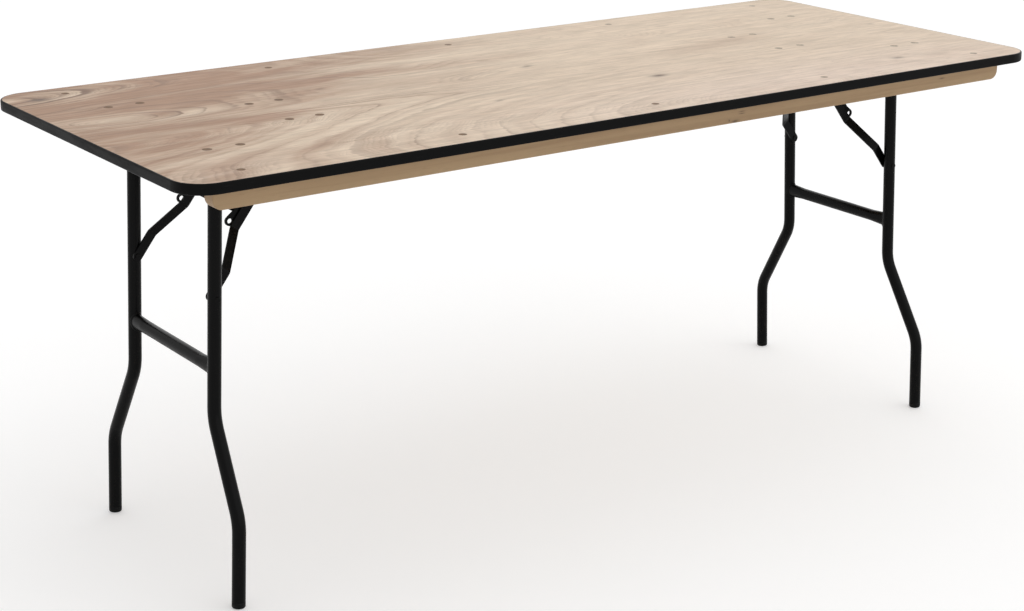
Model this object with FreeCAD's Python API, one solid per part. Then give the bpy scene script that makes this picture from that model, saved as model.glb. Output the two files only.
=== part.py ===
import FreeCAD
import Part
import math
import os

# Folding trestle table, in mm. X runs along the top, Y across it, Z up from the floor.
V = FreeCAD.Vector
ORIGIN = V(0, 0, 0)
ACROSS = V(0, 1, 0)
UP = V(0, 0, 1)
FINE = 1e-6

# Table top
top_length = 1830.0
top_width = 750.0
table_height = 760.0
top_thickness = 18.0
corner_radius = 55.0

# Edge band: a face strip with a tongue pressed into a groove of the board
band_face = 3.0
band_edge_radius = 2.4
tongue_depth = 8.0
tongue_thickness = 2.0
groove_clearance = 0.1

# Rails under the long sides
rail_depth = 36.0
rail_thickness = 28.0
rail_inset = 38.0
rail_end_inset = 59.0
rail_end_radius = 17.0
rail_edge_radius = 1.5

# Screws that hold the rails
rail_screw_end = 56.0
rail_screw_count = 5
rail_screw_head = 14.0
rail_screw_head_height = 2.5
rail_screw_shank = 5.0
rail_screw_bite = 24.0

# Bolts and nuts that hold the brackets
bolt_head = 16.0
bolt_head_height = 3.0
bolt_shank = 6.0
bolt_tail = 2.0
nut_flats = 10.0
nut_height = 5.0
hole_clearance = 0.1

# Steel plate and pivots
plate = 3.0
bend_radius = 2.0
pin_diameter = 8.0
pin_head = 14.0
pin_head_height = 3.5
pin_nut_flats = 13.0
pin_nut_height = 6.5
running_clearance = 0.05
side_clearance = 0.3
dome_share = 0.7

# Leg frames
tube_diameter = 23.0
tube_wall = 1.5
tube_overrun = 10.0
pivot_inset = 160.0
pivot_drop = 17.0
splay_deg = 2.55
leg_spacing = 297.0
foot_spacing = 472.0
kick_deg = 30.0
kick_height = 148.0
kick_radius = 75.0

# Stretchers: each lies at a share of the straight from the stay's rivet down to the kick
stretcher_share = 0.64
stretcher_end_height = 30.0
stretcher_end_width = 18.0
stretcher_flare = 34.0

# Foot caps
cap_diameter = 25.4
cap_height = 11.0
cap_round = 6.0
cap_stem = 18.0
cap_stem_clearance = 0.2

# Pivot brackets, measured from the leg pivot
pivot_bracket_front = 39.0
pivot_bracket_back = 45.0
pivot_bracket_reach = 35.7
pivot_bracket_ear = 13.0
pivot_bolt_spacing = 58.0
pivot_bolt_line = 20.7

# Stay brackets, measured from the upper pin of the stay
stay_bracket_front = 13.0
stay_bracket_back = 95.0
stay_bracket_reach = 37.0
stay_bracket_ear = 11.0
stay_bolt_offset = 53.0
stay_bolt_spacing = 57.5
stay_bolt_line = 15.2
ear_shoulder = 8.0

# Stays
stay_drop = 221.0
stay_reach = 155.0
stay_pin_drop = 20.0
stay_plane = 88.5
strap_width = 17.0
strap_bend_radius = 8.0
joggle_start = 47.0
joggle_end = 116.0
stay_rivet_head = 10.0
stay_rivet_head_height = 1.2
knee_rivet = 8.0
knee_rivet_head = 13.0
knee_rivet_head_height = 2.2
knee_rivet_clearance = 0.02

# Yoke: the eye and the web lie beyond the knee
eye_beyond = 48.2
eye_offset = 13.0
eye_hole = 8.5
eye_rim = 4.2
web_width = 46.0
web_beyond = 32.0
web_offset = 20.0

# Places that follow from the sizes above
half_length = top_length / 2
underside = table_height - top_thickness
board_length = top_length - 2 * band_face
board_width = top_width - 2 * band_face
board_radius = corner_radius - band_face
board_middle = underside + top_thickness / 2
rail_y = top_width / 2 - rail_inset - rail_thickness / 2
rail_half = half_length - rail_end_inset
splay = math.radians(splay_deg)
leg_pivot = V(half_length - pivot_inset, 0, underside - pivot_drop)
leg_y = leg_spacing / 2
foot_y = foot_spacing / 2
tube_outside = leg_y + tube_diameter / 2
tube_inside = leg_y - tube_diameter / 2
cap_flat = cap_diameter / 2 - cap_round
leg_reach = cap_round + (leg_pivot.z - cap_round - cap_flat * math.sin(splay)) / math.cos(splay)
kick_rise = (foot_y - leg_y) / math.tan(math.radians(kick_deg))
kick_start = leg_reach - kick_height - kick_rise - kick_radius * math.tan(math.radians(kick_deg / 2))
stretcher_drop = stay_drop + stretcher_share * (kick_start - stay_drop)
stay_foot = leg_pivot + V(math.sin(splay), 0, -math.cos(splay)) * stay_drop
stay_foot_folded = leg_pivot + V(-stay_drop, 0, 0)
stay_pin_at = V(leg_pivot.x - stay_reach, 0, underside - stay_pin_drop)
strap_end = strap_width / 2
strap_foot_y = tube_inside - side_clearance - plate / 2
strap_knee_y = stay_plane + side_clearance + plate / 2
pivot_flange_y = tube_outside + side_clearance
stay_flange_y = stay_plane - plate - side_clearance

# The links lie in line when the leg is open and over each other when it is folded
span_open = stay_foot.distanceToPoint(stay_pin_at)
span_folded = stay_foot_folded.distanceToPoint(stay_pin_at)
yoke_length = (span_open - span_folded) / 2
stay_slope = math.degrees(math.atan2(stay_pin_at.z - stay_foot.z, stay_foot.x - stay_pin_at.x))


def rod(diameter, start, end):
    """Round bar between two points."""
    axis = end - start
    return Part.makeCylinder(diameter / 2, axis.Length, start, axis)


def upright(diameter, x, y, low, high):
    """Round bar along Z."""
    return rod(diameter, V(x, y, low), V(x, y, high))


def crosswise(diameter, x, z, y0, y1):
    """Round bar along Y."""
    return rod(diameter, V(x, y0, z), V(x, y1, z))


def hexagon(flats, start, end):
    """Six-sided bar along Y or Z between two points."""
    axis = end - start
    other = axis.cross(V(1, 0, 0)).normalize()
    radius = flats / math.sqrt(3)
    points = []
    for corner in range(7):
        t = math.radians(60 * corner)
        points.append(start + V(radius * math.cos(t), 0, 0) + other * (radius * math.sin(t)))
    return Part.Face(Part.makePolygon(points)).extrude(axis)


def dome(diameter, height, base, axis):
    """Low domed head standing on a flat face."""
    head = Part.makeCylinder(diameter / 2, height, base, axis)
    rim = [e for e in head.Edges if e.Closed and (e.CenterOfMass - base).dot(axis) > height / 2]
    return head.makeFillet(height * dome_share, rim)


def rounded_plate(length, width, radius, low, high):
    """Flat plate with round corners, centred on the Z axis."""
    a = length / 2 - radius
    b = width / 2 - radius
    arcs = []
    for cx, cy, start in ((a, b, 0), (-a, b, 90), (-a, -b, 180), (a, -b, 270)):
        points = []
        for turn in (0, 45, 90):
            t = math.radians(start + turn)
            points.append(V(cx + radius * math.cos(t), cy + radius * math.sin(t), low))
        arcs.append(points)
    edges = []
    for points, following in zip(arcs, arcs[1:] + arcs[:1]):
        edges.append(Part.Arc(*points).toShape())
        edges.append(Part.makeLine(points[2], following[0]))
    return Part.Face(Part.Wire(edges)).extrude(UP * (high - low))


def rounded_ring(length, width, radius, depth, low, high):
    """Band of one depth along the inside of a plate's outline."""
    inner = rounded_plate(length - 2 * depth, width - 2 * depth, radius - depth, low, high)
    return rounded_plate(length, width, radius, low, high).cut(inner)


def slab(face, y0, y1):
    """Plate of an outline drawn in the XZ plane."""
    face = face.copy()
    face.translate(ACROSS * y0)
    return face.extrude(ACROSS * (y1 - y0))


def link_outline(x0, z0, r0, x1, z1, r1):
    """Outline round two circles in the XZ plane, joined by their common tangents."""
    base = math.atan2(z1 - z0, x1 - x0)
    lean = math.acos((r0 - r1) / math.hypot(x1 - x0, z1 - z0))

    def first(t):
        return V(x0 + r0 * math.cos(t), 0, z0 + r0 * math.sin(t))

    def second(t):
        return V(x1 + r1 * math.cos(t), 0, z1 + r1 * math.sin(t))

    return Part.Face(Part.Wire([
        Part.makeLine(first(base + lean), second(base + lean)),
        Part.Arc(second(base + lean), second(base), second(base - lean)).toShape(),
        Part.makeLine(second(base - lean), first(base - lean)),
        Part.Arc(first(base - lean), first(base + math.pi), first(base + lean)).toShape(),
    ]))


def ear_outline(x0, x1, eye, radius):
    """Flange outline that narrows from its edge under the top to a round ear."""
    shoulder = underside - ear_shoulder

    def touch(x, sense):
        t = math.atan2(shoulder - eye.z, x - eye.x)
        t += sense * math.acos(radius / math.hypot(x - eye.x, shoulder - eye.z))
        return V(eye.x + radius * math.cos(t), 0, eye.z + radius * math.sin(t))

    front = touch(x1, -1)
    back = touch(x0, 1)
    run = Part.makePolygon([
        back, V(x0, 0, shoulder), V(x0, 0, underside), V(x1, 0, underside), V(x1, 0, shoulder), front,
    ])
    arc = Part.Arc(front, V(eye.x, 0, eye.z - radius), back).toShape()
    return Part.Face(Part.Wire(run.Edges + [arc]))


def bent_path(points, radius):
    """Centre line through the points with a tangent arc at every bend."""
    edges = []
    last = points[0]
    for before, corner, after in zip(points, points[1:], points[2:]):
        u = (before - corner).normalize()
        w = (after - corner).normalize()
        half = u.getAngle(w) / 2
        start = corner + u * (radius / math.tan(half))
        end = corner + w * (radius / math.tan(half))
        middle = corner + (u + w).normalize() * (radius / math.sin(half) - radius)
        edges.append(Part.makeLine(last, start))
        edges.append(Part.Arc(start, middle, end).toShape())
        last = end
    edges.append(Part.makeLine(last, points[-1]))
    return Part.Wire(edges)


def bent_plate(points, radius, corners):
    """Plate of one section, given by its corners, carried along a bent centre line."""
    section = Part.makePolygon(corners + corners[:1])
    return bent_path(points, radius).makePipeShell([section], True, False)


def quarter(shape, sx, sy):
    """Copy of a rear right piece in another quarter of the table."""
    out = shape.copy()
    if sx < 0:
        out = out.mirror(ORIGIN, V(1, 0, 0))
    if sy < 0:
        out = out.mirror(ORIGIN, ACROSS)
    return out


def both_rows(shape):
    """A rear piece together with its front one."""
    return Part.makeCompound([quarter(shape, 1, sy) for sy in (-1, 1)])


def all_quarters(shape):
    return Part.makeCompound([quarter(shape, sx, sy) for sx in (-1, 1) for sy in (-1, 1)])


def on_leg(shape):
    """From the leg's own axes, with the pivot at the origin, to the open leg."""
    shape = shape.copy()
    shape.rotate(ORIGIN, ACROSS, -splay_deg)
    shape.translate(leg_pivot)
    return shape


def on_stay(shape):
    """From the stay's own axes, with the upper pin at the origin and the leg along +X, to the open stay."""
    shape = shape.copy()
    shape.rotate(ORIGIN, ACROSS, stay_slope)
    shape.translate(stay_pin_at)
    return shape


def rail_screw_spots():
    """Places of the screws, spread evenly between the two at the rail's ends."""
    last = rail_half - rail_screw_end
    pitch = 2 * last / (rail_screw_count - 1)
    xs = [i * pitch - last for i in range(rail_screw_count)]
    return [(x, sy * rail_y) for x in xs for sy in (-1, 1)]


def bracket_bolt_spots():
    rows = (
        (leg_pivot.x, pivot_bolt_spacing, pivot_flange_y + pivot_bolt_line),
        (stay_pin_at.x - stay_bolt_offset, stay_bolt_spacing, stay_flange_y - stay_bolt_line),
    )
    spots = []
    for x, spacing, y in rows:
        for step in (-spacing / 2, spacing / 2):
            spots += [(sx * (x + step), sy * y) for sx in (-1, 1) for sy in (-1, 1)]
    return spots


def sunk_fastener(x, y, head, head_height, shank, end):
    """Flat head flush with the table's surface and a shank down to its end."""
    top = upright(head, x, y, table_height - head_height, table_height)
    return top.fuse(upright(shank, x, y, end, table_height)).removeSplitter()


def plywood_top():
    board = rounded_plate(board_length, board_width, board_radius, underside, table_height)
    half = tongue_thickness / 2 + groove_clearance
    cuts = [rounded_ring(board_length, board_width, board_radius, tongue_depth + groove_clearance,
                         board_middle - half, board_middle + half)]
    for spots, head, height, shank in (
        (rail_screw_spots(), rail_screw_head, rail_screw_head_height, rail_screw_shank),
        (bracket_bolt_spots(), bolt_head, bolt_head_height, bolt_shank),
    ):
        for x, y in spots:
            cuts.append(upright(head + 2 * hole_clearance, x, y, table_height - height, table_height))
            cuts.append(upright(shank + 2 * hole_clearance, x, y, underside, table_height))
    return board.cut(cuts)


def edge_band():
    strip = rounded_plate(top_length, top_width, corner_radius, underside, table_height)
    rims = [e for e in strip.Edges if e.BoundBox.ZLength < FINE]
    strip = strip.makeFillet(band_edge_radius, rims)
    strip = strip.cut(rounded_plate(board_length, board_width, board_radius, underside, table_height))
    half = tongue_thickness / 2
    tongue = rounded_ring(board_length, board_width, board_radius, tongue_depth,
                          board_middle - half, board_middle + half)
    return strip.fuse(tongue).removeSplitter()


def rail():
    low = underside - rail_depth
    r = rail_end_radius
    bulge = r * (1 - math.sqrt(0.5))
    h = rail_half
    over = Part.makePolygon([V(h, 0, low + r), V(h, 0, underside), V(-h, 0, underside), V(-h, 0, low + r)])
    outline = Part.Wire(over.Edges + [
        Part.Arc(V(-h, 0, low + r), V(bulge - h, 0, low + bulge), V(r - h, 0, low)).toShape(),
        Part.makeLine(V(r - h, 0, low), V(h - r, 0, low)),
        Part.Arc(V(h - r, 0, low), V(h - bulge, 0, low + bulge), V(h, 0, low + r)).toShape(),
    ])
    body = slab(Part.Face(outline), rail_y - rail_thickness / 2, rail_y + rail_thickness / 2)
    eased = [e for e in body.Edges if e.BoundBox.YLength < FINE and e.BoundBox.ZMin < underside - FINE]
    body = body.makeFillet(rail_edge_radius, eased)
    end = underside - rail_screw_bite - hole_clearance
    bore = rail_screw_shank + 2 * hole_clearance
    return body.cut([upright(bore, x, y, end, underside) for x, y in rail_screw_spots() if y > 0])


def rail_screws():
    end = underside - rail_screw_bite
    return Part.makeCompound([
        sunk_fastener(x, y, rail_screw_head, rail_screw_head_height, rail_screw_shank, end)
        for x, y in rail_screw_spots()
    ])


def bracket_bolts():
    end = underside - plate - nut_height - bolt_tail
    return Part.makeCompound([
        sunk_fastener(x, y, bolt_head, bolt_head_height, bolt_shank, end) for x, y in bracket_bolt_spots()
    ])


def bracket_nuts():
    high = underside - plate
    low = high - nut_height
    bore = bolt_shank + 2 * hole_clearance
    return Part.makeCompound([
        hexagon(nut_flats, V(x, y, low), V(x, y, high)).cut(upright(bore, x, y, low, high))
        for x, y in bracket_bolt_spots()
    ])


def angle_bracket(x0, x1, flange_y, reach, eye, ear):
    """Bent plate: one flange under the top, the other one hanging down to an ear.

    A positive reach points the upper flange outwards, a negative one inwards.
    """
    sense = math.copysign(1, reach)
    back_y = flange_y + sense * plate
    rim_y = flange_y + reach
    foot = eye.z - ear
    middle_y = flange_y + sense * plate / 2
    middle_z = underside - plate / 2
    body = bent_plate(
        [V(x0, middle_y, foot), V(x0, middle_y, middle_z), V(x0, rim_y, middle_z)],
        bend_radius + plate / 2,
        [V(x0, flange_y, foot), V(x1, flange_y, foot), V(x1, back_y, foot), V(x0, back_y, foot)],
    )
    body = body.common(slab(ear_outline(x0, x1, eye, ear), flange_y, rim_y))
    holes = [crosswise(pin_diameter + 2 * hole_clearance, eye.x, eye.z, flange_y, back_y)]
    for x, y in bracket_bolt_spots():
        if x0 < x < x1 and abs(y - flange_y) < abs(reach):
            holes.append(upright(bolt_shank + 2 * hole_clearance, x, y, underside - plate, underside))
    return body.cut(holes)


def pivot_bracket():
    return angle_bracket(leg_pivot.x - pivot_bracket_back, leg_pivot.x + pivot_bracket_front,
                         pivot_flange_y, pivot_bracket_reach, leg_pivot, pivot_bracket_ear)


def stay_bracket():
    return angle_bracket(stay_pin_at.x - stay_bracket_back, stay_pin_at.x + stay_bracket_front,
                         stay_flange_y, -stay_bracket_reach, stay_pin_at, stay_bracket_ear)


def pivot_bolt():
    """Bolt from the bracket inwards through the leg tube."""
    seat = pivot_flange_y + plate
    tail = tube_inside - side_clearance - pin_nut_height - bolt_tail
    head = dome(pin_head, pin_head_height, leg_pivot + ACROSS * seat, ACROSS)
    return head.fuse(crosswise(pin_diameter, leg_pivot.x, leg_pivot.z, tail, seat)).removeSplitter()


def pivot_nut():
    seat = tube_inside - side_clearance
    end = seat - pin_nut_height
    nut = hexagon(pin_nut_flats, leg_pivot + ACROSS * end, leg_pivot + ACROSS * seat)
    return nut.cut(crosswise(pin_diameter + 2 * hole_clearance, leg_pivot.x, leg_pivot.z, end, seat))


def stay_pin():
    """Pin with two heads through the bracket's ear and the yoke."""
    outer = stay_plane + side_clearance
    inner = stay_flange_y - plate
    shank = crosswise(pin_diameter, stay_pin_at.x, stay_pin_at.z, inner, outer)
    heads = [
        dome(pin_head, pin_head_height, stay_pin_at + ACROSS * outer, ACROSS),
        dome(pin_head, pin_head_height, stay_pin_at + ACROSS * inner, -ACROSS),
    ]
    return shank.fuse(heads).removeSplitter()


def leg_tube():
    """Bent tube on the leg's own axes."""
    low = kick_height - leg_reach
    top = V(0, leg_y, tube_overrun)
    path = bent_path(
        [top, V(0, leg_y, low + kick_rise), V(0, foot_y, low), V(0, foot_y, cap_height - leg_reach)], kick_radius,
    )
    outside, inside = [
        path.makePipeShell([Part.Wire(Part.makeCircle(d / 2, top, UP))], True, False)
        for d in (tube_diameter, tube_diameter - 2 * tube_wall)
    ]
    bore = pin_diameter + 2 * running_clearance
    pins = [crosswise(bore, 0, -drop, tube_inside, tube_outside) for drop in (0, stay_drop)]
    return outside.cut([inside] + pins)


def stretcher():
    """Cross tube with flattened ends that saddle the leg tubes, on the leg's own axes."""
    straight = tube_inside - stretcher_flare

    def ring(y, height, width):
        oval = Part.Wire(Part.Ellipse(ORIGIN, height / 2, width / 2).toShape())
        oval.rotate(ORIGIN, V(1, 1, 1), 240)
        oval.translate(V(0, y, -stretcher_drop))
        return oval

    def skin(wall):
        tall = stretcher_end_height - 2 * wall
        wide = stretcher_end_width - 2 * wall
        bore = tube_diameter - 2 * wall
        ends = [(-leg_y, tall, wide), (-straight, bore, bore), (straight, bore, bore), (leg_y, tall, wide)]
        return Part.makeLoft([ring(*end) for end in ends], True, True)

    low = -stretcher_drop - stretcher_end_height
    high = -stretcher_drop + stretcher_end_height
    saddles = [upright(tube_diameter, 0, sense * leg_y, low, high) for sense in (-1, 1)]
    return skin(0).cut([skin(tube_wall)] + saddles)


def foot_cap():
    """Turned cap with a stem for the tube's end, on the leg's own axes."""
    base = -leg_reach
    shoulder = base + cap_height
    r = cap_diameter / 2
    bulge = cap_round * (1 - math.sqrt(0.5))
    stem = tube_diameter / 2 - tube_wall - cap_stem_clearance
    run = Part.makePolygon([
        V(r, 0, base + cap_round), V(r, 0, shoulder), V(stem, 0, shoulder), V(stem, 0, shoulder + cap_stem),
        V(0, 0, shoulder + cap_stem), V(0, 0, base), V(cap_flat, 0, base),
    ])
    arc = Part.Arc(V(cap_flat, 0, base), V(r - bulge, 0, base + bulge), V(r, 0, base + cap_round)).toShape()
    body = Part.Face(Part.Wire(run.Edges + [arc])).revolve(ORIGIN, UP, 360)
    body.translate(ACROSS * foot_y)
    return body


def stay_rivet():
    """Low rivet through the leg tube and the strap, on the leg's own axes."""
    inner = strap_foot_y - plate / 2 - side_clearance
    shank = crosswise(pin_diameter, 0, -stay_drop, inner, tube_outside)
    heads = [
        dome(stay_rivet_head, stay_rivet_head_height, V(0, tube_outside, -stay_drop), ACROSS),
        dome(stay_rivet_head, stay_rivet_head_height, V(0, inner, -stay_drop), -ACROSS),
    ]
    return shank.fuse(heads).removeSplitter()


def stay_strap():
    """Lower link: flat at the leg, joggled inwards, flat again at the knee."""
    far = span_open + strap_end
    inner = strap_foot_y - plate / 2
    outer = strap_foot_y + plate / 2
    body = bent_plate(
        [
            V(far, strap_foot_y, 0),
            V(span_open - joggle_start, strap_foot_y, 0),
            V(span_open - joggle_end, strap_knee_y, 0),
            V(yoke_length - strap_end, strap_knee_y, 0),
        ],
        strap_bend_radius,
        [V(far, inner, -strap_end), V(far, outer, -strap_end), V(far, outer, strap_end), V(far, inner, strap_end)],
    )
    rounded = link_outline(yoke_length, 0, strap_end, span_open, 0, strap_end)
    body = body.common(slab(rounded, 0, tube_outside))
    return body.cut([
        crosswise(pin_diameter + 2 * running_clearance, span_open, 0, 0, tube_outside),
        crosswise(knee_rivet + 2 * knee_rivet_clearance, yoke_length, 0, 0, tube_outside),
    ])


def strap_rivet():
    """The strap's half of the knee rivet, flush on the side of the yoke."""
    inner = strap_knee_y - plate / 2
    outer = strap_knee_y + plate / 2
    head = dome(knee_rivet_head, knee_rivet_head_height, V(yoke_length, outer, 0), ACROSS)
    return head.fuse(crosswise(knee_rivet, yoke_length, 0, inner, outer)).removeSplitter()


def yoke_cheek():
    """Rear side of the yoke: a link from the pin to the knee, an eye beyond it and a gusset to the web."""
    start = yoke_length + web_beyond - web_width
    rise = web_offset - plate - bend_radius
    gusset = [V(start - rise, 0, 0), V(start, 0, 0), V(start, 0, rise)]
    outlines = [
        link_outline(0, 0, strap_end, yoke_length, 0, strap_end),
        link_outline(yoke_length, 0, strap_end, yoke_length + eye_beyond, eye_offset, eye_hole / 2 + eye_rim),
        Part.Face(Part.makePolygon(gusset + gusset[:1])),
    ]
    sides = [slab(outline, stay_plane - plate, stay_plane) for outline in outlines]
    return sides[0].fuse(sides[1:])


def stay_yoke():
    """Upper link of both stays of a frame: two cheeks joined by a bent web."""
    inner = stay_plane - plate
    middle = stay_plane - plate / 2
    crown = web_offset - plate / 2
    edge = yoke_length + web_beyond
    start = edge - web_width
    web = bent_plate(
        [V(edge, middle, 0), V(edge, middle, crown), V(edge, -middle, crown), V(edge, -middle, 0)],
        bend_radius + plate / 2,
        [V(start, inner, 0), V(edge, inner, 0), V(edge, stay_plane, 0), V(start, stay_plane, 0)],
    )
    cheek = yoke_cheek()
    body = web.fuse([cheek, quarter(cheek, 1, -1)]).removeSplitter()
    return body.cut([
        crosswise(bore, x, z, -stay_plane, stay_plane)
        for x, z, bore in (
            (0, 0, pin_diameter + 2 * running_clearance),
            (yoke_length, 0, knee_rivet + 2 * knee_rivet_clearance),
            (yoke_length + eye_beyond, eye_offset, eye_hole),
        )
    ])


def yoke_rivet():
    """The yoke's half of the knee rivet, flush on the side of the strap."""
    inner = stay_plane - plate
    head = dome(knee_rivet_head, knee_rivet_head_height, V(yoke_length, inner, 0), -ACROSS)
    return head.fuse(crosswise(knee_rivet, yoke_length, 0, inner, stay_plane)).removeSplitter()


def table_nodes():
    rear_rail = rail()
    nodes = {
        "plywood_top": plywood_top(),
        "edge_band": edge_band(),
        "front_rail": quarter(rear_rail, 1, -1),
        "rear_rail": rear_rail,
        "rail_screws": rail_screws(),
        "bracket_bolts": bracket_bolts(),
        "bracket_nuts": bracket_nuts(),
        "pivot_bolts": all_quarters(pivot_bolt()),
        "pivot_nuts": all_quarters(pivot_nut()),
        "stay_pins": all_quarters(stay_pin()),
    }
    per_end = {
        "stretcher": on_leg(stretcher()),
        "stay_rivets": both_rows(on_leg(stay_rivet())),
        "stay_yoke": on_stay(stay_yoke()),
        "yoke_rivets": both_rows(on_stay(yoke_rivet())),
    }
    per_corner = {
        "pivot_bracket": pivot_bracket(),
        "stay_bracket": stay_bracket(),
        "leg_tube": on_leg(leg_tube()),
        "foot_cap": on_leg(foot_cap()),
        "stay_strap": on_stay(stay_strap()),
        "strap_rivet": on_stay(strap_rivet()),
    }
    for end, sx in (("left", -1), ("right", 1)):
        for name, shape in per_end.items():
            nodes[f"{end}_{name}"] = quarter(shape, sx, 1)
        for row, sy in (("front", -1), ("rear", 1)):
            for name, shape in per_corner.items():
                nodes[f"{end}_{row}_{name}"] = quarter(shape, sx, sy)
    return nodes


os.makedirs("parts", exist_ok=True)
for node, solid in table_nodes().items():
    solid.exportStep(f"parts/{node}.step")
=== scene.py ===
import math

import bmesh
import bpy
from bpy.props import FloatProperty, FloatVectorProperty, IntProperty, PointerProperty
from mathutils import Matrix, Vector


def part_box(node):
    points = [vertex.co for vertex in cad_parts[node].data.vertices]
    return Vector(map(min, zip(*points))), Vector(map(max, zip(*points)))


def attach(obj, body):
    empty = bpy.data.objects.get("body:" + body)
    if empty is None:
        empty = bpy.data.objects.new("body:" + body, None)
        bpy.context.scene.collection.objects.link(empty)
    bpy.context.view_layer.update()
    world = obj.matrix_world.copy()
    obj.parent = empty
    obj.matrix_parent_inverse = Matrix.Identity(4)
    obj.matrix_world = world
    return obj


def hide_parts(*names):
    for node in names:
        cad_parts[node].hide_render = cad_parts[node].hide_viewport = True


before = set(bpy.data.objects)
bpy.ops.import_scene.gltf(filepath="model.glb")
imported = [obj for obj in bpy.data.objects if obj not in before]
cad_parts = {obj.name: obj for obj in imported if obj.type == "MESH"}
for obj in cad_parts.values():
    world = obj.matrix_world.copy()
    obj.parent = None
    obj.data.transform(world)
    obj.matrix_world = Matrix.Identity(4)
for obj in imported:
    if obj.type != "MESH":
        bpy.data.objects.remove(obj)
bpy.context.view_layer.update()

bl_info = {
    "name": "Folding trestle table",
    "version": (1, 0, 0),
    "blender": (4, 5, 0),
    "location": "View3D > Sidebar > Trestle table",
    "description": "Finishes, foot plugs, weld beads and a studio for a folding trestle table",
    "category": "Object",
}

TOP_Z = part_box("plywood_top")[1].z
ENDS = ("left", "right")
ROWS = ("front", "rear")
CORNERS = [f"{end}_{row}" for end in ENDS for row in ROWS]
FULL_TURN = 2 * math.pi
MERGE_DISTANCE = 1e-6

# Axes of the camera, the width of its sensor in millimetres, and in pixels the size of the
# picture and the point that lies straight ahead
CAMERA_RIGHT = Vector((0.80301, -0.5959, 0.00863))
CAMERA_DOWN = Vector((-0.15604, -0.2242, -0.96197))
CAMERA_AHEAD = Vector((0.57517, 0.77112, -0.27302))
SENSOR_WIDTH = 36
PICTURE_WIDTH = 1024
PICTURE_HEIGHT = 611
STRAIGHT_AHEAD = (560, 220)

# The growth lines in front are ovals: their centre, and how much closer they lie along x and y
OVAL_CENTRE = (0.30, -0.36, 0)
OVAL_SHAPE = (2.0, 5.9, 0)
HAIRS_PER_LINE = 5
# Turn of the dark streaks against the board's length, in degrees
STREAK_TURN = 10
# Reach of the places in the veneer, and of its knots, below the upper face
FIGURE_DEPTH = 0.012
KNOT_DEPTH = 0.006

# Places in the veneer: x, y, half length along the grain, half width across it, turn in
# degrees, strength
GROWTH_HILLS = (
    (-1.000, 0.320, 0.42, 0.100, 0, 8.5),
    (-0.830, 0.085, 0.17, 0.050, -8, -5.5),
    (-0.980, -0.130, 0.40, 0.110, 6, 6.0),
    (-0.150, 0.360, 0.22, 0.100, -10, 5.0),
    (0.160, 0.330, 0.20, 0.130, -20, 5.5),
    (0.780, 0.190, 0.36, 0.100, 6, 3.0),
)
HEARTWOOD = (
    (-0.700, 0.245, 0.30, 0.035, 9, 0.55),
    (-0.700, 0.203, 0.26, 0.013, 9, -0.45),
    (-0.200, 0.240, 0.46, 0.018, -1, -0.42),
    (-0.650, 0.190, 0.22, 0.020, 8, 0.50),
    (-0.446, 0.180, 0.17, 0.034, 0, 0.65),
    (-0.130, 0.168, 0.23, 0.022, -4, 0.32),
    (-0.690, 0.105, 0.13, 0.020, 12, 0.45),
    (-0.821, 0.090, 0.11, 0.030, -12, -0.50),
    (-0.640, 0.055, 0.10, 0.028, 10, -0.40),
    (-0.740, -0.012, 0.20, 0.020, -8, 0.62),
    (-0.640, -0.030, 0.07, 0.030, 0, 0.30),
    (-0.830, -0.130, 0.10, 0.050, 10, 0.30),
    (-0.696, -0.285, 0.17, 0.026, 26, 0.32),
    (-0.565, -0.300, 0.07, 0.050, 40, 0.34),
    (-0.775, 0.290, 0.09, 0.040, 10, -0.40),
    (0.452, 0.037, 0.15, 0.028, 14, 0.34),
    (0.315, 0.134, 0.06, 0.025, 20, 0.18),
    (-0.080, 0.330, 0.10, 0.050, 0, 0.22),
)
PALE_PATCHES = (
    (0.420, -0.340, 0.62, 0.170, 0, 1.00),
    (-0.860, -0.330, 0.12, 0.060, 20, 0.45),
)
QUIET_PATCHES = (
    (-0.330, -0.230, 0.32, 0.150, 0, 0.62),
)
KNOTS = (
    (-0.857, 0.300, 0.020, 0.012, 0, 1.00),
    (0.157, -0.142, 0.016, 0.009, 0, 0.90),
    (0.645, -0.270, 0.014, 0.008, 0, 0.60),
    (0.005, 0.063, 0.014, 0.007, 20, 0.55),
    (-0.415, 0.105, 0.011, 0.006, 20, 0.45),
    (-0.207, -0.150, 0.010, 0.005, 20, 0.45),
    (0.860, 0.020, 0.009, 0.006, 0, 0.40),
)
# Small knots and nicks on the front rail: centre, reach along x, y and z, strength
RAIL_MARKS = (
    ((0.183, -0.337, 0.7245), (0.008, 0.004, 0.0012), 0.70),
    ((0.183, -0.337, 0.7205), (0.007, 0.004, 0.0010), 0.80),
    ((0.166, -0.337, 0.7085), (0.008, 0.005, 0.0024), 1.00),
    ((0.152, -0.337, 0.7110), (0.002, 0.004, 0.0020), 0.90),
    ((0.694, -0.337, 0.7240), (0.006, 0.004, 0.0015), 0.85),
)


def colour(name, description, default):
    return FloatVectorProperty(
        name=name, description=description, default=default, size=3, min=0, max=1, subtype="COLOR",
    )


def share(name, description, default):
    return FloatProperty(
        name=name, description=description, default=default, min=0, max=1, subtype="FACTOR",
    )


def length(name, description, default):
    return FloatProperty(
        name=name, description=description, default=default, min=0, unit="LENGTH", precision=4,
    )


def angle(name, description, degrees):
    default = math.radians(degrees)
    return FloatProperty(name=name, description=description, default=default, subtype="ANGLE")


def rotation(name, description, degrees):
    default = [math.radians(part) for part in degrees]
    return FloatVectorProperty(
        name=name, description=description, default=default, size=3, subtype="EULER",
    )


def count(name, description, default):
    return IntProperty(name=name, description=description, default=default, min=3)


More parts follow.
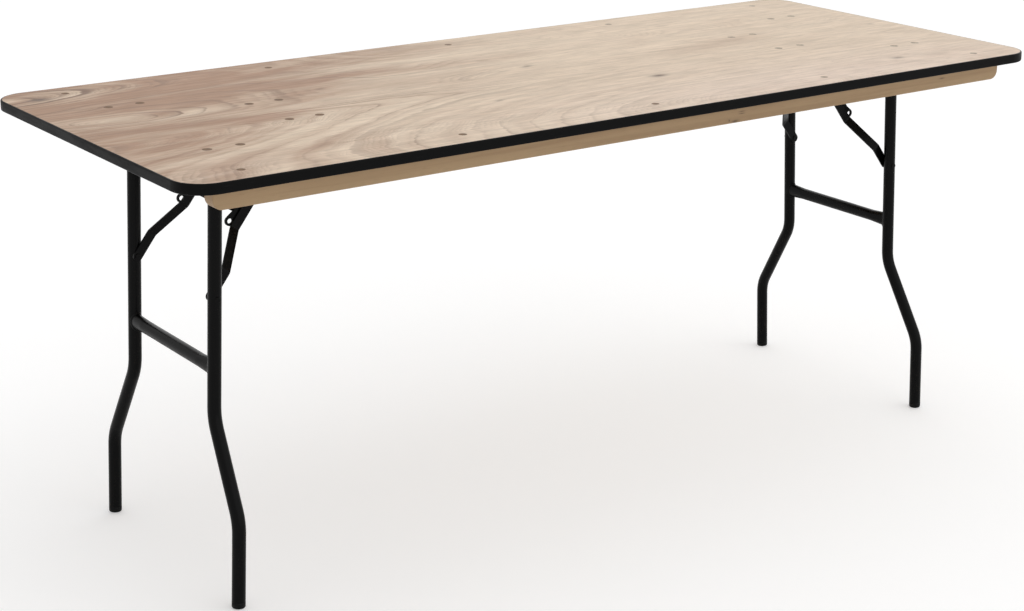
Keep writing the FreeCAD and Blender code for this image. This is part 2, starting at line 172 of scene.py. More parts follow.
class TopFinish(bpy.types.PropertyGroup):
    """Lacquered plywood of the top."""

    pale: colour("Sapwood", "Pale veneer", (0.778, 0.624, 0.470))
    palest: colour("Palest sapwood", "Pale pink veneer at the right end", (0.797, 0.637, 0.515))
    warm: colour("Heartwood", "Warm brown veneer at the left end", (0.412, 0.249, 0.160))
    line: colour("Growth lines", "Dark side of the growth lines", (0.23, 0.14, 0.092))
    knot: colour("Knots", "Small knots in the face veneer", (0.13, 0.085, 0.06))
    line_pitch: FloatProperty(
        name="Growth line count", description="How close the ovals of the figure lie", default=8.4, min=1,
    )
    line_depth: share("Growth line depth", "How dark the growth lines are", 0.85)
    fibre_depth: share("Fibre depth", "Contrast of the fine fibres", 0.14)
    roughness: share("Roughness", "Roughness of the lacquer", 0.50)
    sheen: share("Sheen", "Specular level of the lacquer", 0.14)


class RailFinish(bpy.types.PropertyGroup):
    """Planed timber of the rails."""

    face: colour("Face", "Timber along the grain", (0.438, 0.298, 0.163))
    late: colour("Late wood", "Darker streaks of the grain", (0.368, 0.240, 0.126))
    end: colour("End grain", "Timber across the grain", (0.41, 0.270, 0.145))
    mark: colour("Marks", "Small knots and nicks", (0.12, 0.076, 0.040))
    roughness: share("Roughness", "Roughness of the planed face", 0.55)
    sheen: share("Sheen", "Specular level of the planed face", 0.50)


class BandFinish(bpy.types.PropertyGroup):
    """Vinyl of the edge band."""

    vinyl: colour("Vinyl", "Black edge band", (0.004, 0.004, 0.004))
    scuff: colour("Scuffs", "Greyed marks on the band", (0.022, 0.022, 0.021))
    roughness: share("Roughness", "Roughness of the vinyl", 0.44)
    sheen: share("Sheen", "Specular level of the vinyl", 0.055)


class SteelFinish(bpy.types.PropertyGroup):
    """Coated, plated and oxidised steel."""

    coat: colour("Powder coat", "Black coat of tubes, stays and brackets", (0.0020, 0.0020, 0.0020))
    worn: colour("Worn coat", "Greyed marks on the coat", (0.012, 0.012, 0.012))
    roughness: share("Roughness", "Roughness of the coat", 0.26)
    sheen: share("Sheen", "Specular level of the coat", 0.085)
    zinc: colour("Zinc", "Plated nuts, bolts and pins", (0.33, 0.33, 0.32))
    zinc_sheen: share("Zinc sheen", "Specular level of the zinc", 0.50)
    thread: length("Thread pitch", "Pitch of the threads on the bolts", 0.001)
    head: colour("Sunk heads", "Oxidised flat heads in the top", (0.250, 0.163, 0.106))
    head_pale: colour("Paler heads", "Less oxidised heads at the right end", (0.50, 0.405, 0.315))
    head_sheen: share("Head sheen", "Specular level of the sunk heads", 0.02)


class LegSizes(bpy.types.PropertyGroup):
    """The tubes of the leg frames."""

    tube: length("Leg tube", "Diameter of a leg tube", 0.023)
    spacing: length("Leg spacing", "Distance between the two legs of a frame", 0.297)
    splay: angle("Splay", "Lean of the legs", 2.55)


class FootPlugs(bpy.types.PropertyGroup):
    """Moulded plugs in the ends of the legs."""

    plastic: colour("Plastic", "Black moulded plastic", (0.002, 0.002, 0.002))
    dust: colour("Dust", "Dust near the floor", (0.03, 0.029, 0.027))
    dust_height: length("Dust height", "How far up the dust reaches", 0.004)
    roughness: share("Roughness", "Roughness of the plugs", 0.42)
    sheen: share("Sheen", "Specular level of the plugs", 0.105)
    height: length("Height", "Height of a plug below the end of its tube", 0.0109)
    stem: length("Stem", "Length of the stem in the tube", 0.018)
    wall: length("Tube wall", "Wall of the tube with its clearance", 0.0017)
    rounding: length("Rounding", "Radius of the lower edge", 0.003)
    rounding_steps: count("Rounding steps", "Faces across the rounded edge", 6)
    facets: count("Facets", "Faces round a plug", 64)
    line: length("Parting line", "Height of the parting line above the floor", 0.0042)
    groove: length("Groove", "Depth of the parting line", 0.0003)


class WeldSizes(bpy.types.PropertyGroup):
    """Fillet welds between stretchers and legs."""

    width: length("Bead width", "Width of a weld bead", 0.0046)
    sides: count("Bead sides", "Faces round the section of a bead", 10)
    ripples: count("Ripples", "Ripples round one bead", 26)
    ripple_steps: count("Ripple steps", "Faces along one ripple", 6)
    swell: share("Ripple depth", "How far the ripples swell the bead", 0.14)
    oval_height: length("Oval height", "Height of the stretcher's flattened end", 0.030)
    oval_width: length("Oval width", "Width of the stretcher's flattened end", 0.018)


class Studio(bpy.types.PropertyGroup):
    """Camera, floor and lamps."""

    place: FloatVectorProperty(
        name="Camera", description="Place of the camera", default=(-2.1791, -2.9722, 1.5225),
        size=3, subtype="TRANSLATION", unit="LENGTH",
    )
    focal: FloatProperty(
        name="Focal length", description="Lens for a sensor 36 mm wide", default=71.43, min=1, unit="CAMERA",
    )
    sight: length("Sight", "How far the camera sees", 200)
    floor: colour("Floor", "Pale floor", (0.80, 0.80, 0.80))
    floor_radius: length("Floor radius", "Radius of the floor", 80)
    floor_facets: count("Floor facets", "Corners of the floor's edge", 64)
    floor_glow: share("Floor glow", "Light that the floor adds where it is seen", 0.30)
    sky: share("Sky", "Strength of the even light", 0.55)
    key: FloatProperty(name="Key lamp", description="Strength of the key lamp", default=1.10, min=0)
    key_spread: angle("Key spread", "Width of the key lamp", 95)
    key_turn: rotation("Key turn", "Direction of the key lamp", (-38, 0, -62))
    fill: FloatProperty(name="Fill lamp", description="Strength of the fill lamp", default=0.55, min=0)
    fill_spread: angle("Fill spread", "Width of the fill lamp", 70)
    fill_turn: rotation("Fill turn", "Direction of the fill lamp", (58, 0, 20))


class TableSettings(bpy.types.PropertyGroup):
    """All settings of the table."""

    top: PointerProperty(type=TopFinish)
    rails: PointerProperty(type=RailFinish)
    band: PointerProperty(type=BandFinish)
    steel: PointerProperty(type=SteelFinish)
    legs: PointerProperty(type=LegSizes)
    plugs: PointerProperty(type=FootPlugs)
    welds: PointerProperty(type=WeldSizes)
    studio: PointerProperty(type=Studio)


class Surface:
    """A procedural material under construction, on Object coordinates."""

    def __init__(self, name, sheen):
        self.material = bpy.data.materials.new(name)
        self.material.use_nodes = True
        self.tree = self.material.node_tree
        self.shader = self.tree.nodes["Principled BSDF"]
        self.shader.inputs["Specular IOR Level"].default_value = sheen
        self.place = self.tree.nodes.new("ShaderNodeTexCoord").outputs["Object"]

    def add(self, kind, inputs=(), **settings):
        node = self.tree.nodes.new(kind)
        for key, value in settings.items():
            setattr(node, key, value)
        for key, value in dict(inputs).items():
            self.put(node.inputs[key], value)
        return node

    def put(self, socket, value):
        """Links a socket, or sets it where the value is a constant."""
        if isinstance(value, bpy.types.NodeSocket):
            self.tree.links.new(value, socket)
        elif socket.type == "RGBA":
            socket.default_value = (*value[:3], 1)
        else:
            socket.default_value = value

    def calc(self, operation, a, b=0.0, c=0.0, clamp=False):
        inputs = {0: a, 1: b, 2: c}
        return self.add("ShaderNodeMath", inputs, operation=operation, use_clamp=clamp).outputs[0]

    def plus(self, a, b):
        return self.calc("ADD", a, b)

    def times(self, a, b):
        return self.calc("MULTIPLY", a, b)

    def unit(self, value):
        """A value held between 0 and 1."""
        return self.calc("ADD", value, 0.0, clamp=True)

    def vector(self, operation, a, b, output="Vector"):
        return self.add("ShaderNodeVectorMath", {0: a, 1: b}, operation=operation).outputs[output]

    def axes(self, place=None):
        return self.add("ShaderNodeSeparateXYZ", {0: place or self.place}).outputs

    def stretched(self, scale, place=None):
        return self.vector("MULTIPLY", place or self.place, scale)

    def turned(self, place, degrees):
        """A place as read in a frame that is turned about Z."""
        inputs = {"Vector": place, "Angle": math.radians(-degrees)}
        return self.add("ShaderNodeVectorRotate", inputs, rotation_type="Z_AXIS").outputs[0]

    def moved(self, place, offset, reach):
        """A place pushed by an offset, which is scaled by a reach along each axis."""
        return self.vector("ADD", place, self.stretched(reach, offset))

    def noise(self, scale, detail, place=None, output="Fac", roughness=0.5):
        """Noise, from its cells per metre along x, y and z."""
        place = self.stretched(scale, place)
        inputs = {"Vector": place, "Scale": 1.0, "Detail": detail, "Roughness": roughness}
        return self.add("ShaderNodeTexNoise", inputs).outputs[output]

    def wander(self, scale, detail):
        """An offset that wanders between -0.5 and 0.5 along each axis."""
        return self.vector("SUBTRACT", self.noise(scale, detail, output="Color"), (0.5, 0.5, 0.5))

    def ramp(self, value, low, high, to_low=0.0, to_high=1.0):
        """A smooth step from one range to another."""
        inputs = {"Value": value, "From Min": low, "From Max": high, "To Min": to_low, "To Max": to_high}
        return self.add("ShaderNodeMapRange", inputs, interpolation_type="SMOOTHSTEP").outputs[0]

    def hill(self, away, reach, strength):
        """A smooth hill, from the offset to its centre and its reach along each axis."""
        away = self.stretched([1 / size for size in reach], away)
        square = self.vector("DOT_PRODUCT", away, away, "Value")
        return self.times(self.calc("POWER", math.exp(-1), square), strength)

    def hills(self, places, depth, place=None):
        """Sum of smooth elongated hills on the upper face."""
        total = 0.0
        for x, y, along, across, turn, strength in places:
            away = self.vector("SUBTRACT", place or self.place, (x, y, TOP_Z))
            hill = self.hill(self.turned(away, turn), (along, across, depth), strength)
            total = self.plus(total, hill)
        return total

    def blend(self, factor, a, b, mode="MIX"):
        inputs = {0: factor, 6: a, 7: b}
        return self.add("ShaderNodeMix", inputs, data_type="RGBA", blend_type=mode).outputs[2]

    def shade(self, base, tone):
        """A colour darkened by a tone from 0 to 1."""
        grey = self.add("ShaderNodeCombineColor", {0: tone, 1: tone, 2: tone}).outputs[0]
        return self.blend(1.0, base, grey, "MULTIPLY")

    def bump(self, height, distance, strength):
        inputs = {"Height": height, "Distance": distance, "Strength": strength}
        self.put(self.shader.inputs["Normal"], self.add("ShaderNodeBump", inputs).outputs[0])

    def finish(self, base, roughness):
        self.put(self.shader.inputs["Base Color"], base)
        self.put(self.shader.inputs["Roughness"], roughness)
        return self.material


def dress(names, material):
    """Gives CAD nodes their finish."""
    for name in names:
        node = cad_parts[name]
        if not node.material_slots:
            node.data.materials.append(material)
        for slot in node.material_slots:
            slot.material = material


def veneer_figure(wood, place, fibre, pitch):
    """Heights whose contours are the growth lines, and the seasons that space them."""
    away = wood.stretched(OVAL_SHAPE, wood.vector("SUBTRACT", place, OVAL_CENTRE))
    ovals = wood.add("ShaderNodeVectorMath", {0: away}, operation="LENGTH").outputs["Value"]
    rolling = wood.calc("MULTIPLY_ADD", wood.noise((1.2, 3.0, 34), 2, place), 9.0, 5.0)
    rear = wood.ramp(wood.axes(place)[1], -0.07, 0.03)
    inputs = {0: rear, 2: wood.times(ovals, pitch), 3: rolling}
    height = wood.add("ShaderNodeMix", inputs).outputs[0]
    height = wood.plus(height, wood.hills(GROWTH_HILLS, FIGURE_DEPTH, place))
    inputs = {"W": height, "Scale": 0.8, "Detail": 1.0}
    season = wood.add("ShaderNodeTexNoise", inputs, noise_dimensions="1D").outputs["Fac"]
    height = wood.calc("MULTIPLY_ADD", fibre, 0.15, height)
    return wood.calc("MULTIPLY_ADD", season, 0.9, height), season


def growth_lines(wood, height):
    """Lines that darken slowly and end sharply, each with a strength of its own."""
    phase = wood.calc("FRACT", height)
    inputs = {"W": wood.calc("FLOOR", height)}
    strength = wood.add("ShaderNodeTexWhiteNoise", inputs, noise_dimensions="1D").outputs["Value"]
    soft = wood.ramp(phase, 0.30, 0.90, 0.0, 0.35)
    sharp = wood.ramp(phase, 0.74, 0.90, 0.0, 0.65)
    line = wood.times(wood.plus(soft, sharp), wood.ramp(phase, 0.91, 1.0, 1.0, 0.0))
    return wood.times(line, wood.ramp(strength, 0.0, 1.0, 0.15, 1.0))


def hair_lines(wood, height):
    """Finer lines between the growth lines, in patches."""
    phase = wood.calc("FRACT", wood.times(height, HAIRS_PER_LINE))
    hair = wood.times(wood.ramp(phase, 0.35, 0.92), wood.ramp(phase, 0.94, 1.0, 1.0, 0.0))
    return wood.times(hair, wood.ramp(wood.noise((5, 14, 30), 3), 0.38, 0.66, 0.0, 0.32))


def heartwood_share(wood, place, season):
    """Share of heartwood: most at the left end, in clouds, bands and streaks."""
    x, y = wood.axes(place)[:2]
    side = wood.calc("SUBTRACT", x, wood.times(y, 0.9))
    clouds = wood.ramp(wood.noise((2.0, 8.0, 30), 3, place), 0.35, 0.70, 0.0, 0.30)
    bands = wood.ramp(season, 0.30, 0.70, -0.5, 0.5)
    streaks = wood.noise((3.0, 24, 30), 4, wood.turned(place, STREAK_TURN))
    streaks = wood.ramp(streaks, 0.34, 0.66, -0.5, 0.5)
    total = wood.ramp(side, -0.25, -0.86, 0.0, 0.74)
    total = wood.plus(total, wood.times(clouds, wood.ramp(side, 0.30, -0.60, 0.35, 1.0)))
    total = wood.plus(total, wood.times(bands, wood.ramp(x, 0.30, -0.60, 0.12, 0.34)))
    total = wood.plus(total, wood.times(streaks, wood.ramp(side, -0.10, -0.70, 0.06, 0.44)))
    return wood.unit(wood.plus(total, wood.hills(HEARTWOOD, FIGURE_DEPTH, place)))


def plywood(finish):
    """Lacquered rotary-cut veneer with knots, fibres and pores."""
    wood = Surface("lacquered_plywood", finish.sheen)
    drift = wood.wander((2.4, 5.0, 30), 5)
    place = wood.moved(wood.place, drift, (0.14, 0.048, 0))
    place = wood.moved(place, wood.wander((11, 26, 30), 4), (0.042, 0.017, 0))
    fibre = wood.noise((11, 190, 160), 3, roughness=0.6)
    height, season = veneer_figure(wood, place, fibre, finish.line_pitch)

    x = wood.axes(place)[0]
    calm = wood.calc("SUBTRACT", 1.0, wood.hills(QUIET_PATCHES, FIGURE_DEPTH))
    fade = wood.ramp(wood.noise((2.2, 5.0, 30), 2), 0.36, 0.62, 0.30, 1.0)
    fade = wood.times(wood.times(fade, wood.ramp(x, 0.20, -0.80, 0.22, 1.30)), calm)
    line = wood.times(growth_lines(wood, height), wood.times(fade, finish.line_depth))
    fade = wood.times(calm, wood.ramp(x, 0.60, -0.60, 0.35, 1.0))
    hair = wood.times(hair_lines(wood, height), fade)

    pale = wood.unit(wood.hills(PALE_PATCHES, FIGURE_DEPTH, place))
    base = wood.blend(pale, finish.pale, finish.palest)
    base = wood.blend(heartwood_share(wood, place, season), base, finish.warm)
    base = wood.blend(line, base, finish.line)
    base = wood.blend(hair, base, finish.line)
    mottle = wood.ramp(wood.noise((18, 60, 60), 3, place), 0.30, 0.70, 0.91, 1.0)
    tone = wood.ramp(fibre, 0.30, 0.70, 1.0 - finish.fibre_depth, 1.0)
    base = wood.shade(base, wood.times(tone, mottle))
    pores = wood.ramp(wood.noise((30, 420, 400), 1), 0.62, 0.74, 0.0, 0.36)
    base = wood.blend(pores, base, finish.line)
    knots = wood.hills(KNOTS, KNOT_DEPTH, wood.moved(wood.place, drift, (0.012, 0.008, 0)))
    base = wood.blend(wood.unit(knots), base, finish.knot)

    wood.bump(wood.plus(wood.times(fibre, 0.6), line), distance=0.00012, strength=0.5)
    roughness = wood.ramp(fibre, 0.3, 0.7, finish.roughness + 0.06, finish.roughness - 0.05)
    return wood.finish(base, roughness)


def rail_timber(finish):
    """Planed softwood with straight grain, small marks and rings on its ends."""
    wood = Surface("planed_rail_timber", finish.sheen)
    place = wood.moved(wood.place, wood.wander((1.5, 9, 9), 2), (0.1, 0.012, 0.012))
    grain = wood.noise((1.6, 120, 90), 4, place, roughness=0.6)
    blotch = wood.noise((2.5, 6, 14), 2)
    pores = wood.noise((40, 500, 420), 1)
    rings = wood.noise((3, 16, 420), 3)
    base = wood.blend(wood.ramp(grain, 0.40, 0.72), finish.face, finish.late)
    base = wood.blend(wood.ramp(blotch, 0.45, 0.75, 0.0, 0.4), base, finish.late)
    base = wood.blend(wood.ramp(pores, 0.66, 0.74, 0.0, 0.45), base, finish.late)
    cut = wood.blend(wood.ramp(rings, 0.35, 0.65), finish.end, finish.late)
    normal = wood.add("ShaderNodeNewGeometry").outputs["Normal"]
    across = wood.ramp(wood.calc("ABSOLUTE", wood.axes(normal)[0]), 0.35, 0.75)
    base = wood.blend(across, base, cut)
    for centre, reach, strength in RAIL_MARKS:
        away = wood.vector("SUBTRACT", place, centre)
        base = wood.blend(wood.hill(away, reach, strength), base, finish.mark)
    wood.bump(grain, distance=0.0002, strength=0.4)
    return wood.finish(base, finish.roughness)


def vinyl_band(finish):
    """Satin vinyl, greyed a little where hands and trolleys rub it."""
    vinyl = Surface("satin_edge_vinyl", finish.sheen)
    rub = vinyl.noise((9, 9, 60), 4, roughness=0.65)
    marks = vinyl.ramp(vinyl.noise((30, 30, 900), 2), 0.63, 0.76, 0.0, 0.6)
    worn = vinyl.times(marks, vinyl.ramp(rub, 0.45, 0.70))
    base = vinyl.blend(worn, finish.vinyl, finish.scuff)
    vinyl.bump(vinyl.noise((900, 900, 900), 2), distance=0.00008, strength=0.35)
    return vinyl.finish(base, vinyl.ramp(rub, 0.35, 0.70, finish.roughness - 0.06, finish.roughness + 0.10))


def powder_coat(finish):
    """Black powder coat with its orange peel and a few rubbed spots."""
    coat = Surface("black_powder_coat", finish.sheen)
    rub = coat.noise((14, 14, 7), 4, roughness=0.6)
    scratch = coat.ramp(coat.noise((260, 260, 24), 2), 0.66, 0.78, 0.0, 0.5)
    worn = coat.times(scratch, coat.ramp(rub, 0.46, 0.70))
    base = coat.blend(worn, finish.coat, finish.worn)
    coat.bump(coat.noise((420, 420, 420), 2), distance=0.00008, strength=0.25)
    return coat.finish(base, coat.ramp(rub, 0.35, 0.70, finish.roughness - 0.05, finish.roughness + 0.10))


def zinc_plate(finish):
    """Dull zinc, spangled, with fine threads along the bolts."""
    zinc = Surface("dull_zinc_plate", finish.zinc_sheen)
    zinc.put(zinc.shader.inputs["Metallic"], 1.0)
    spots = zinc.add("ShaderNodeTexVoronoi", {"Vector": zinc.place, "Scale": 420.0}).outputs["Color"]
    tone = zinc.ramp(zinc.axes(spots)[0], 0.0, 1.0, 0.80, 1.0)
    turns = zinc.times(zinc.axes()[2], FULL_TURN / finish.thread)
    zinc.bump(zinc.calc("SINE", turns), distance=0.00012, strength=0.5)
    roughness = zinc.ramp(zinc.noise((160, 160, 160), 2), 0.35, 0.65, 0.36, 0.52)
    return zinc.finish(zinc.shade(finish.zinc, tone), roughness)


def sunk_heads(finish):
    """Oxidised flat heads, mottled and pitted, paler at the right end."""
    head = Surface("oxidised_sunk_heads", finish.head_sheen)
    mottle = head.noise((170, 170, 170), 3)
    base = head.blend(head.ramp(head.axes()[0], -0.20, 0.60), finish.head, finish.head_pale)
    base = head.shade(base, head.ramp(mottle, 0.30, 0.70, 0.62, 1.0))
    head.bump(head.noise((900, 900, 900), 2), distance=0.00010, strength=0.5)
    return head.finish(base, head.ramp(mottle, 0.35, 0.65, 0.40, 0.60))


def plug_plastic(finish):
    """Moulded plastic, dusty at the floor."""
    plug = Surface("moulded_plug_plastic", finish.sheen)
    low = plug.ramp(plug.axes()[2], 0.0, finish.dust_height, 0.4, 0.0)
    dusty = plug.times(plug.noise((120, 120, 200), 3), low)
    plug.bump(plug.noise((700, 700, 700), 2), distance=0.00008, strength=0.3)
    return plug.finish(plug.blend(dusty, finish.plastic, finish.dust), finish.roughness)


def new_piece(work, name, body, material):
    """Makes a mesh object that rides on a body."""
    mesh = bpy.data.meshes.new(name)
    for face in work.faces:
        face.smooth = True
    work.to_mesh(mesh)
    work.free()
    mesh.materials.append(material)
    piece = bpy.data.objects.new(name, mesh)
    bpy.context.scene.collection.objects.link(piece)
    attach(piece, body)
    return piece


def spin_round(work, profile, steps):
    """Spins a profile once round Z."""
    bmesh.ops.spin(work, geom=profile, axis=(0, 0, 1), angle=FULL_TURN, steps=steps, use_merge=True)


def down_the_leg(end, splay):
    """Direction of a splayed leg, towards the floor."""
    outwards = {"left": -1, "right": 1}[end]
    return Vector((outwards * math.sin(splay), 0, -math.cos(splay)))


class FinishTop(bpy.types.Operator):
    """Lacquered plywood with the sunk heads of its screws and bolts"""

    bl_idname = "trestle_table.finish_top"
    bl_label = "Finish the top"

    def execute(self, context):
        settings = context.scene.trestle_table
        dress(["plywood_top"], plywood(settings.top))
        dress(["rail_screws", "bracket_bolts"], sunk_heads(settings.steel))
        return {"FINISHED"}


class FinishBand(bpy.types.Operator):
    """Black vinyl round the top"""

    bl_idname = "trestle_table.finish_band"
    bl_label = "Finish the edge band"

    def execute(self, context):
        dress(["edge_band"], vinyl_band(context.scene.trestle_table.band))
        return {"FINISHED"}


class FinishRails(bpy.types.Operator):
    """Planed timber under the long sides"""

    bl_idname = "trestle_table.finish_rails"
    bl_label = "Finish the rails"

    def execute(self, context):
        dress(["front_rail", "rear_rail"], rail_timber(context.scene.trestle_table.rails))
        return {"FINISHED"}


class FinishSteel(bpy.types.Operator):
    """Powder coat on tubes, stretchers, stays and brackets, zinc on the loose hardware"""

    bl_idname = "trestle_table.finish_steel"
    bl_label = "Finish the steel"

    def execute(self, context):
        steel = context.scene.trestle_table.steel
        per_end = ("stretcher", "stay_yoke", "yoke_rivets", "stay_rivets")
        per_corner = ("leg_tube", "stay_strap", "strap_rivet", "pivot_bracket", "stay_bracket")
        coated = [f"{end}_{piece}" for end in ENDS for piece in per_end]
        coated += [f"{corner}_{piece}" for corner in CORNERS for piece in per_corner]
        dress(coated, powder_coat(steel))
        dress(["bracket_nuts", "pivot_bolts", "pivot_nuts", "stay_pins"], zinc_plate(steel))
        return {"FINISHED"}


class AddFootPlugs(bpy.types.Operator):
    """Black plastic plugs, flush with the ends of the tubes"""

    bl_idname = "trestle_table.add_foot_plugs"
    bl_label = "Add the foot plugs"

    def execute(self, context):
        settings = context.scene.trestle_table
        plastic = plug_plastic(settings.plugs)
        for corner in CORNERS:
            end = corner.split("_")[0]
            work = self.turned(settings.plugs, settings.legs.tube / 2)
            work.transform(self.tube_end(corner, end, settings.legs))
            bmesh.ops.recalc_face_normals(work, faces=work.faces)
            piece = new_piece(work, f"{corner}_foot_plug", f"{end}_leg", plastic)
            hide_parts(f"{corner}_foot_cap")
        return {"FINISHED"}

    def tube_end(self, corner, end, legs):
        """Places the end of a tube's axis, with Z down the leg."""
        low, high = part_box(f"{corner}_leg_tube")
        foot_low, foot_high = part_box(f"{corner}_foot_cap")
        down = down_the_leg(end, legs.splay)
        reach = legs.tube / 2 * math.cos(legs.splay)
        x = low.x + reach if end == "left" else high.x - reach
        z = low.z + legs.tube / 2 * math.sin(legs.splay)
        across = Vector((0, 1, 0))
        turn = Matrix((across.cross(down), across, down)).transposed().to_4x4()
        return Matrix.Translation((x, (foot_low.y + foot_high.y) / 2, z)) @ turn

    def turned(self, plugs, radius):
        """A profile with a rounded lower edge, spun round the tube's axis."""
        stem = radius - plugs.wall
        line = plugs.height - plugs.line
        run = [
            (0, -plugs.stem), (stem, -plugs.stem), (stem, 0), (radius, 0),
            (radius, line - plugs.groove), (radius - plugs.groove, line), (radius, line + plugs.groove),
            (radius, plugs.height), (0, plugs.height),
        ]
        work = bmesh.new()
        verts = [work.verts.new((out, 0, down)) for out, down in run]
        for start, end in zip(verts, verts[1:]):
            work.edges.new((start, end))
        lower_edge = verts[-2]
        bmesh.ops.bevel(
            work, geom=[lower_edge], offset=plugs.rounding, offset_type="OFFSET", affect="VERTICES",
            segments=plugs.rounding_steps, profile=0.5, material=-1,
        )
        spin_round(work, [*work.verts, *work.edges], plugs.facets)
        bmesh.ops.remove_doubles(work, verts=work.verts, dist=MERGE_DISTANCE)
        return work


class AddWelds(bpy.types.Operator):
    """Rippled beads where the stretchers meet the legs"""

    bl_idname = "trestle_table.add_welds"
    bl_label = "Add the weld beads"

    def execute(self, context):
        legs = context.scene.trestle_table.legs
        sizes = context.scene.trestle_table.welds
        coat = bpy.data.materials["black_powder_coat"]
        for end in ENDS:
            low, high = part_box(f"{end}_stretcher")
            down = down_the_leg(end, legs.splay)
            work = bmesh.new()
            for row in (-1, 1):
                face = Vector((0, row * (legs.spacing - legs.tube) / 2, 0))
                inwards = Vector((0, -row, 0))
                place = Matrix.Translation((low + high) / 2 + face)
                turn = Matrix((down, down.cross(inwards), inwards)).transposed().to_4x4()
                self.bead(work, sizes, legs.tube / 2, place @ turn)
            bmesh.ops.recalc_face_normals(work, faces=work.faces)
            new_piece(work, f"{end}_stretcher_welds", f"{end}_leg", coat)
        return {"FINISHED"}

    def bead(self, work, sizes, radius, place):
        """A ring spun round, drawn out to the oval and laid onto the leg's tube."""
        ring = (sizes.oval_height + sizes.oval_width) / 4
        old = set(work.verts)
        start = bmesh.ops.create_circle(work, segments=sizes.sides, radius=sizes.width / 2)["verts"]
        upright = Matrix.Translation((ring, 0, 0)) @ Matrix.Rotation(math.radians(90), 4, "X")
        bmesh.ops.transform(work, matrix=upright, verts=start)
        edges = dict.fromkeys(edge for vert in start for edge in vert.link_edges)
        spin_round(work, [*start, *edges], sizes.ripple_steps * sizes.ripples)
        for vert in set(work.verts) - old:
            vert.co = place @ self.laid(vert.co, ring, radius, sizes)

    def laid(self, point, ring, radius, sizes):
        """A point of the ring on the oval, swelled by the ripples and dropped onto the tube."""
        turn = math.atan2(point.y, point.x)
        along, across = math.cos(turn), math.sin(turn)
        swell = 1 + sizes.swell * math.cos(sizes.ripples * turn)
        rim = Vector((sizes.oval_height / 2 * along, sizes.oval_width / 2 * across, 0))
        out = Vector((sizes.oval_width * along, sizes.oval_height * across, 0)).normalized()
        spot = rim + out * (math.hypot(point.x, point.y) - ring) * swell
        fall = radius - math.sqrt(max(radius ** 2 - spot.y ** 2, 0))
        return Vector((spot.x, spot.y, point.z * swell - fall))


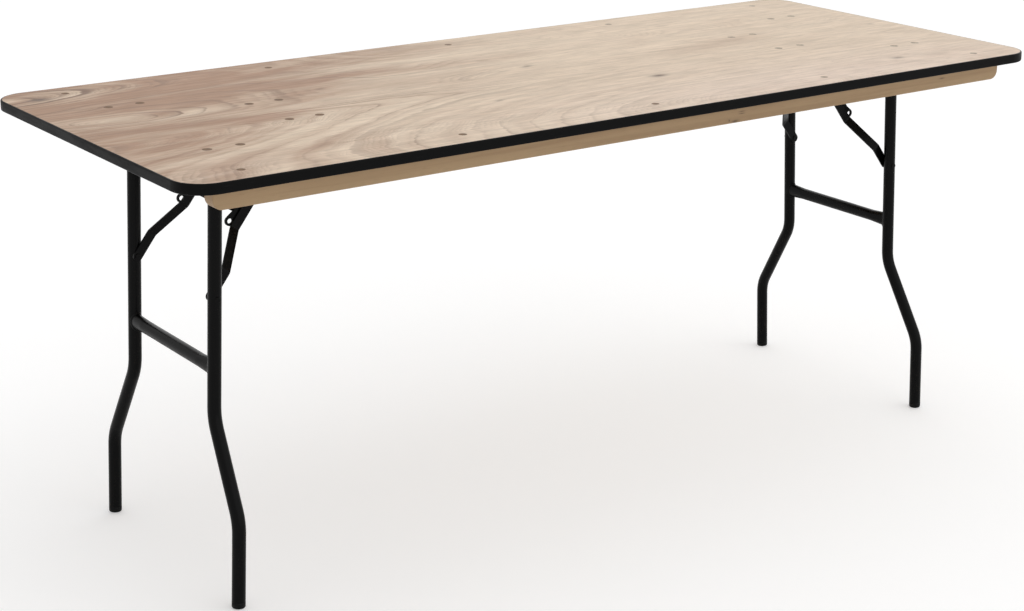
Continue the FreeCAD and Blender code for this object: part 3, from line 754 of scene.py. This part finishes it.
class AddStudio(bpy.types.Operator):
    """Pale floor, soft light and the camera"""

    bl_idname = "trestle_table.add_studio"
    bl_label = "Add the studio"

    def execute(self, context):
        studio = context.scene.trestle_table.studio
        self.floor(studio)
        self.sky(context.scene, studio)
        self.lamp("key_lamp", studio.key, studio.key_spread, studio.key_turn)
        self.lamp("fill_lamp", studio.fill, studio.fill_spread, studio.fill_turn)
        self.camera(context.scene, studio)
        context.scene.view_settings.view_transform = "Standard"
        return {"FINISHED"}

    def seen(self, tree):
        """1 for the rays that show the background, 0 for those that only carry light."""
        path = tree.nodes.new("ShaderNodeLightPath")
        total = path.outputs["Is Camera Ray"]
        for name in ("Is Glossy Ray", "Is Transmission Ray"):
            node = tree.nodes.new("ShaderNodeMath")
            node.operation = "MAXIMUM"
            tree.links.new(total, node.inputs[0])
            tree.links.new(path.outputs[name], node.inputs[1])
            total = node.outputs[0]
        return total

    def floor(self, studio):
        work = bmesh.new()
        bmesh.ops.create_circle(
            work, cap_ends=True, radius=studio.floor_radius, segments=studio.floor_facets,
        )
        mesh = bpy.data.meshes.new("floor")
        work.to_mesh(mesh)
        work.free()
        floor = bpy.data.objects.new("floor", mesh)
        bpy.context.scene.collection.objects.link(floor)
        material = bpy.data.materials.new("pale_floor")
        material.use_nodes = True
        tree = material.node_tree
        shader = tree.nodes["Principled BSDF"]
        shader.inputs["Base Color"].default_value = (*studio.floor, 1)
        shader.inputs["Roughness"].default_value = 1.0
        shader.inputs["Specular IOR Level"].default_value = 0.0
        shader.inputs["Emission Color"].default_value = (1, 1, 1, 1)
        glow = tree.nodes.new("ShaderNodeMath")
        glow.operation = "MULTIPLY"
        glow.inputs[1].default_value = studio.floor_glow
        tree.links.new(self.seen(tree), glow.inputs[0])
        tree.links.new(glow.outputs[0], shader.inputs["Emission Strength"])
        mesh.materials.append(material)

    def sky(self, scene, studio):
        """White where it is seen, and dimmer as a light."""
        world = bpy.data.worlds.new("studio")
        scene.world = world
        world.use_nodes = True
        tree = world.node_tree
        shader = tree.nodes["Background"]
        shader.inputs["Color"].default_value = (1, 1, 1, 1)
        level = tree.nodes.new("ShaderNodeMapRange")
        level.inputs["To Min"].default_value = studio.sky
        level.inputs["To Max"].default_value = 1.0
        tree.links.new(self.seen(tree), level.inputs["Value"])
        tree.links.new(level.outputs[0], shader.inputs["Strength"])

    def lamp(self, name, strength, spread, turn):
        data = bpy.data.lights.new(name, "SUN")
        data.energy = strength
        data.angle = spread
        lamp = bpy.data.objects.new(name, data)
        lamp.rotation_euler = turn
        bpy.context.scene.collection.objects.link(lamp)

    def camera(self, scene, studio):
        data = bpy.data.cameras.new("camera")
        data.sensor_width = SENSOR_WIDTH
        data.lens = studio.focal
        data.shift_x = (PICTURE_WIDTH / 2 - STRAIGHT_AHEAD[0]) / PICTURE_WIDTH
        data.shift_y = (STRAIGHT_AHEAD[1] - PICTURE_HEIGHT / 2) / PICTURE_WIDTH
        data.clip_end = studio.sight
        camera = bpy.data.objects.new("camera", data)
        turn = Matrix((CAMERA_RIGHT, -CAMERA_DOWN, -CAMERA_AHEAD)).transposed().to_4x4()
        camera.matrix_world = Matrix.Translation(studio.place) @ turn
        scene.collection.objects.link(camera)
        scene.camera = camera


class TablePanel(bpy.types.Panel):
    """Steps of the table in the sidebar"""

    bl_idname = "VIEW3D_PT_trestle_table"
    bl_label = "Trestle table"
    bl_space_type = "VIEW_3D"
    bl_region_type = "UI"
    bl_category = "Trestle table"

    def draw(self, context):
        for step in STEPS:
            self.layout.operator(step.bl_idname)


STEPS = (FinishTop, FinishBand, FinishRails, FinishSteel, AddFootPlugs, AddWelds, AddStudio)
GROUPS = (
    TopFinish, RailFinish, BandFinish, SteelFinish, LegSizes, FootPlugs, WeldSizes, Studio, TableSettings,
)


def register():
    for kind in (*GROUPS, *STEPS, TablePanel):
        bpy.utils.register_class(kind)
    bpy.types.Scene.trestle_table = PointerProperty(type=TableSettings)


def unregister():
    del bpy.types.Scene.trestle_table
    for kind in reversed((*GROUPS, *STEPS, TablePanel)):
        bpy.utils.unregister_class(kind)


def main():
    register()
    bpy.ops.trestle_table.finish_top()
    bpy.ops.trestle_table.finish_band()
    bpy.ops.trestle_table.finish_rails()
    bpy.ops.trestle_table.finish_steel()
    bpy.ops.trestle_table.add_foot_plugs()
    bpy.ops.trestle_table.add_welds()
    bpy.ops.trestle_table.add_studio()


if __name__ == "__main__":
    main()
